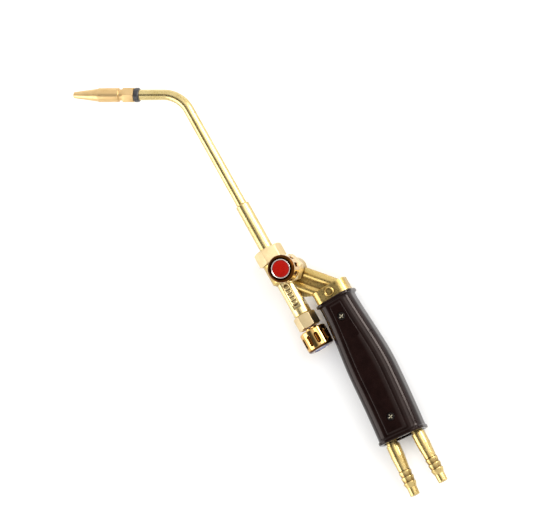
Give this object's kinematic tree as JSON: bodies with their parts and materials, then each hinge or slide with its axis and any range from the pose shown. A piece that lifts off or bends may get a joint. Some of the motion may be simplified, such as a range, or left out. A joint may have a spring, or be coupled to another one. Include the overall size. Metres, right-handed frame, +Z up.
{
  "type": "gas torch",
  "caption": "Hand torch for glass and lampwork: injector body with two needle valves, bent swivelling mixing tube with screw-on tip, two-part handle and barbed hose tails.",
  "frame": {"origin": "middle of the base of the whole torch's box, as it lies on its side on a bench", "axes": "-X is the way the flame points, +Z is up and is the way the acetylene knob faces, and +Y runs from the handle towards the bend of the neck"},
  "size_m": [0.2872, 0.3042, 0.0565],
  "materials": {
    "tip_brass": "satin",
    "seal_ring": "gloss",
    "machined_brass": "satin",
    "drawn_brass": "polished",
    "nut_brass": "satin",
    "forged_brass": "satin",
    "spindle_steel": "satin",
    "packing": "matte",
    "polished_brass": "polished",
    "screw_steel": "satin",
    "bright_ring": "polished",
    "blue_disc": "gloss",
    "red_disc": "gloss",
    "tail_brass": "satin",
    "handle_plastic": "gloss"
  },
  "bodies": {
    "torch": {"union_nut": "nut_brass", "injector_nozzle": "machined_brass", "torch_body": "forged_brass", "oxygen_packing_washer": "machined_brass", "oxygen_packing": "packing", "oxygen_gland_nut": "nut_brass", "acetylene_packing_washer": "machined_brass", "acetylene_packing": "packing", "acetylene_gland_nut": "nut_brass", "oxygen_pipe": "drawn_brass", "acetylene_pipe": "drawn_brass", "oxygen_hose_tail": "tail_brass", "acetylene_hose_tail": "tail_brass", "handle_cover_top": "handle_plastic", "handle_cover_bottom": "handle_plastic", "handle_screws": "screw_steel", "handle_screw_inserts": "machined_brass", "rear_plate": "handle_plastic"},
    "neck": {"welding_tip": "tip_brass", "tip_seal_ring": "seal_ring", "tip_adapter": "machined_brass", "mixing_tube": "drawn_brass", "ejector_sleeve": "drawn_brass", "ejector_cone": "machined_brass"},
    "oxygen_spindle": {"oxygen_spindle": "spindle_steel"},
    "oxygen_knob": {"oxygen_knob": "polished_brass", "oxygen_knob_screw": "screw_steel", "oxygen_cap_ring": "bright_ring", "oxygen_cap_disc": "blue_disc"},
    "acetylene_spindle": {"acetylene_spindle": "spindle_steel"},
    "acetylene_knob": {"acetylene_knob": "polished_brass", "acetylene_knob_screw": "screw_steel", "acetylene_cap_ring": "bright_ring", "acetylene_cap_disc": "red_disc"}
  },
  "joints": [
    {"name": "neck_swivel", "type": "hinge", "parent": "torch", "child": "neck", "pos_m": [0.01364, 0.01721, 0.0147], "axis": [0.5, -0.866, 0], "continuous": true},
    {"name": "oxygen_spindle_travel", "type": "slide", "parent": "torch", "child": "oxygen_spindle", "axis": [0.5, -0.866, 0], "range_m": [0, 0.00175]},
    {"name": "oxygen_knob_turn", "type": "hinge", "parent": "oxygen_spindle", "child": "oxygen_knob", "pos_m": [0.01364, 0.01721, 0.0147], "axis": [0.5, -0.866, 0], "range_deg": [0, 630]},
    {"name": "acetylene_spindle_travel", "type": "slide", "parent": "torch", "child": "acetylene_spindle", "axis": [0, 0, 1], "range_m": [0, 0.00175]},
    {"name": "acetylene_knob_turn", "type": "hinge", "parent": "acetylene_spindle", "child": "acetylene_knob", "pos_m": [0.02651, 0.01713, 0.0147], "axis": [0, 0, 1], "range_deg": [0, 630]}
  ],
  "couplings": [
    {"joint": "oxygen_knob_turn", "follows": "oxygen_spindle_travel", "rad_per_m": 6283.2},
    {"joint": "acetylene_knob_turn", "follows": "acetylene_spindle_travel", "rad_per_m": 6283.2}
  ]
}
